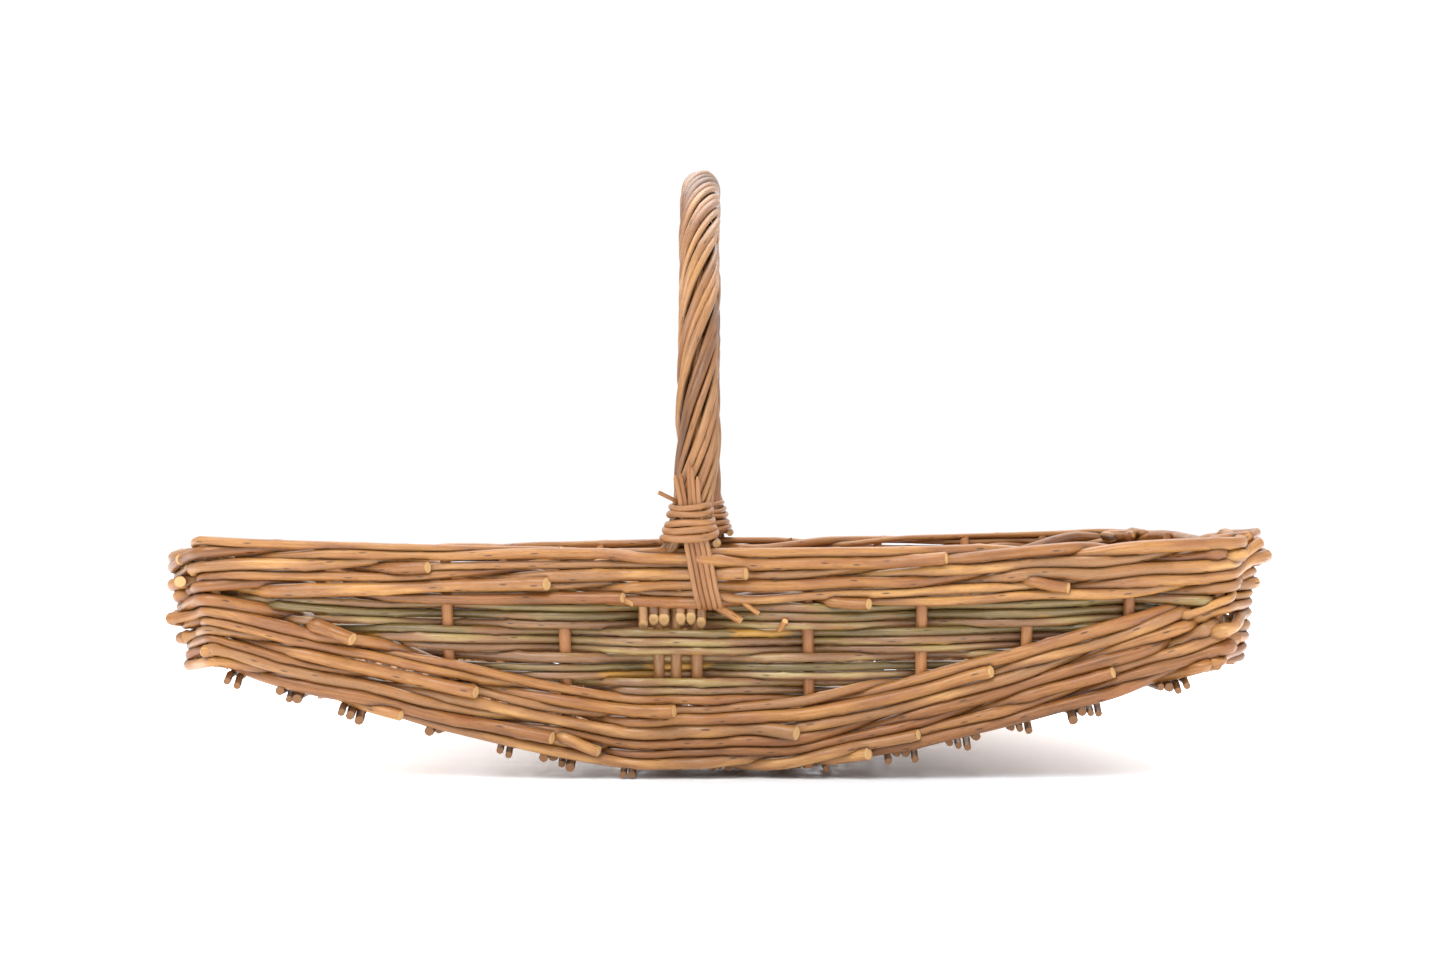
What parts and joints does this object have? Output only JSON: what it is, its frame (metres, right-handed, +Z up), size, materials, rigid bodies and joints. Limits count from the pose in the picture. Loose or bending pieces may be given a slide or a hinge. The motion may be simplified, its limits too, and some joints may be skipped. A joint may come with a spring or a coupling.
{
  "type": "egg collection basket",
  "caption": "Rectangular woven willow basket with a boat-shaped base, cut corners and one fixed rope-wrapped bow handle across the middle.",
  "frame": {"origin": "on the floor under the middle of the base, half way along and half way across", "axes": "+Z up, +X along the basket, +Y across it from the front long wall to the back one; the bow handle crosses along Y"},
  "size_m": [0.5886, 0.3898, 0.3394],
  "materials": {
    "buff_willow": "satin",
    "green_willow": "satin",
    "base_willow": "satin",
    "stake_willow": "satin",
    "handle_willow": "satin",
    "tie_willow": "satin"
  },
  "bodies": {
    "root": {"base_stick_1": "stake_willow", "base_stick_2": "stake_willow", "base_stick_3": "stake_willow", "base_stick_4": "stake_willow", "base_stick_5": "stake_willow", "base_stick_6": "stake_willow", "base_stick_7": "stake_willow", "base_weft_left": "base_willow", "base_weft_middle": "base_willow", "base_weft_right": "base_willow", "border_back": "buff_willow", "border_front": "buff_willow", "border_left": "buff_willow", "border_right": "buff_willow", "bow_rod_1": "handle_willow", "bow_rod_2": "handle_willow", "bow_rod_3": "handle_willow", "corner_posts_back_left": "stake_willow", "corner_posts_back_right": "stake_willow", "corner_posts_front_left": "stake_willow", "corner_posts_front_right": "stake_willow", "cross_ties_back": "tie_willow", "cross_ties_front": "tie_willow", "foot_lapping_back": "tie_willow", "foot_lapping_front": "tie_willow", "lower_wale_back": "buff_willow", "lower_wale_front": "buff_willow", "lower_wale_left": "buff_willow", "lower_wale_right": "buff_willow", "rope_strands_back": "handle_willow", "rope_strands_front": "handle_willow", "slew_back_1": "green_willow", "slew_back_2": "green_willow", "slew_back_3": "green_willow", "slew_back_4": "green_willow", "slew_front_1": "green_willow", "slew_front_2": "green_willow", "slew_front_3": "green_willow", "slew_front_4": "green_willow", "stakes_back": "stake_willow", "stakes_front": "stake_willow", "stakes_left": "stake_willow", "stakes_right": "stake_willow", "upper_wale_back": "buff_willow", "upper_wale_front": "buff_willow", "upper_wale_left": "buff_willow", "upper_wale_right": "buff_willow"}
  },
  "joints": []
}
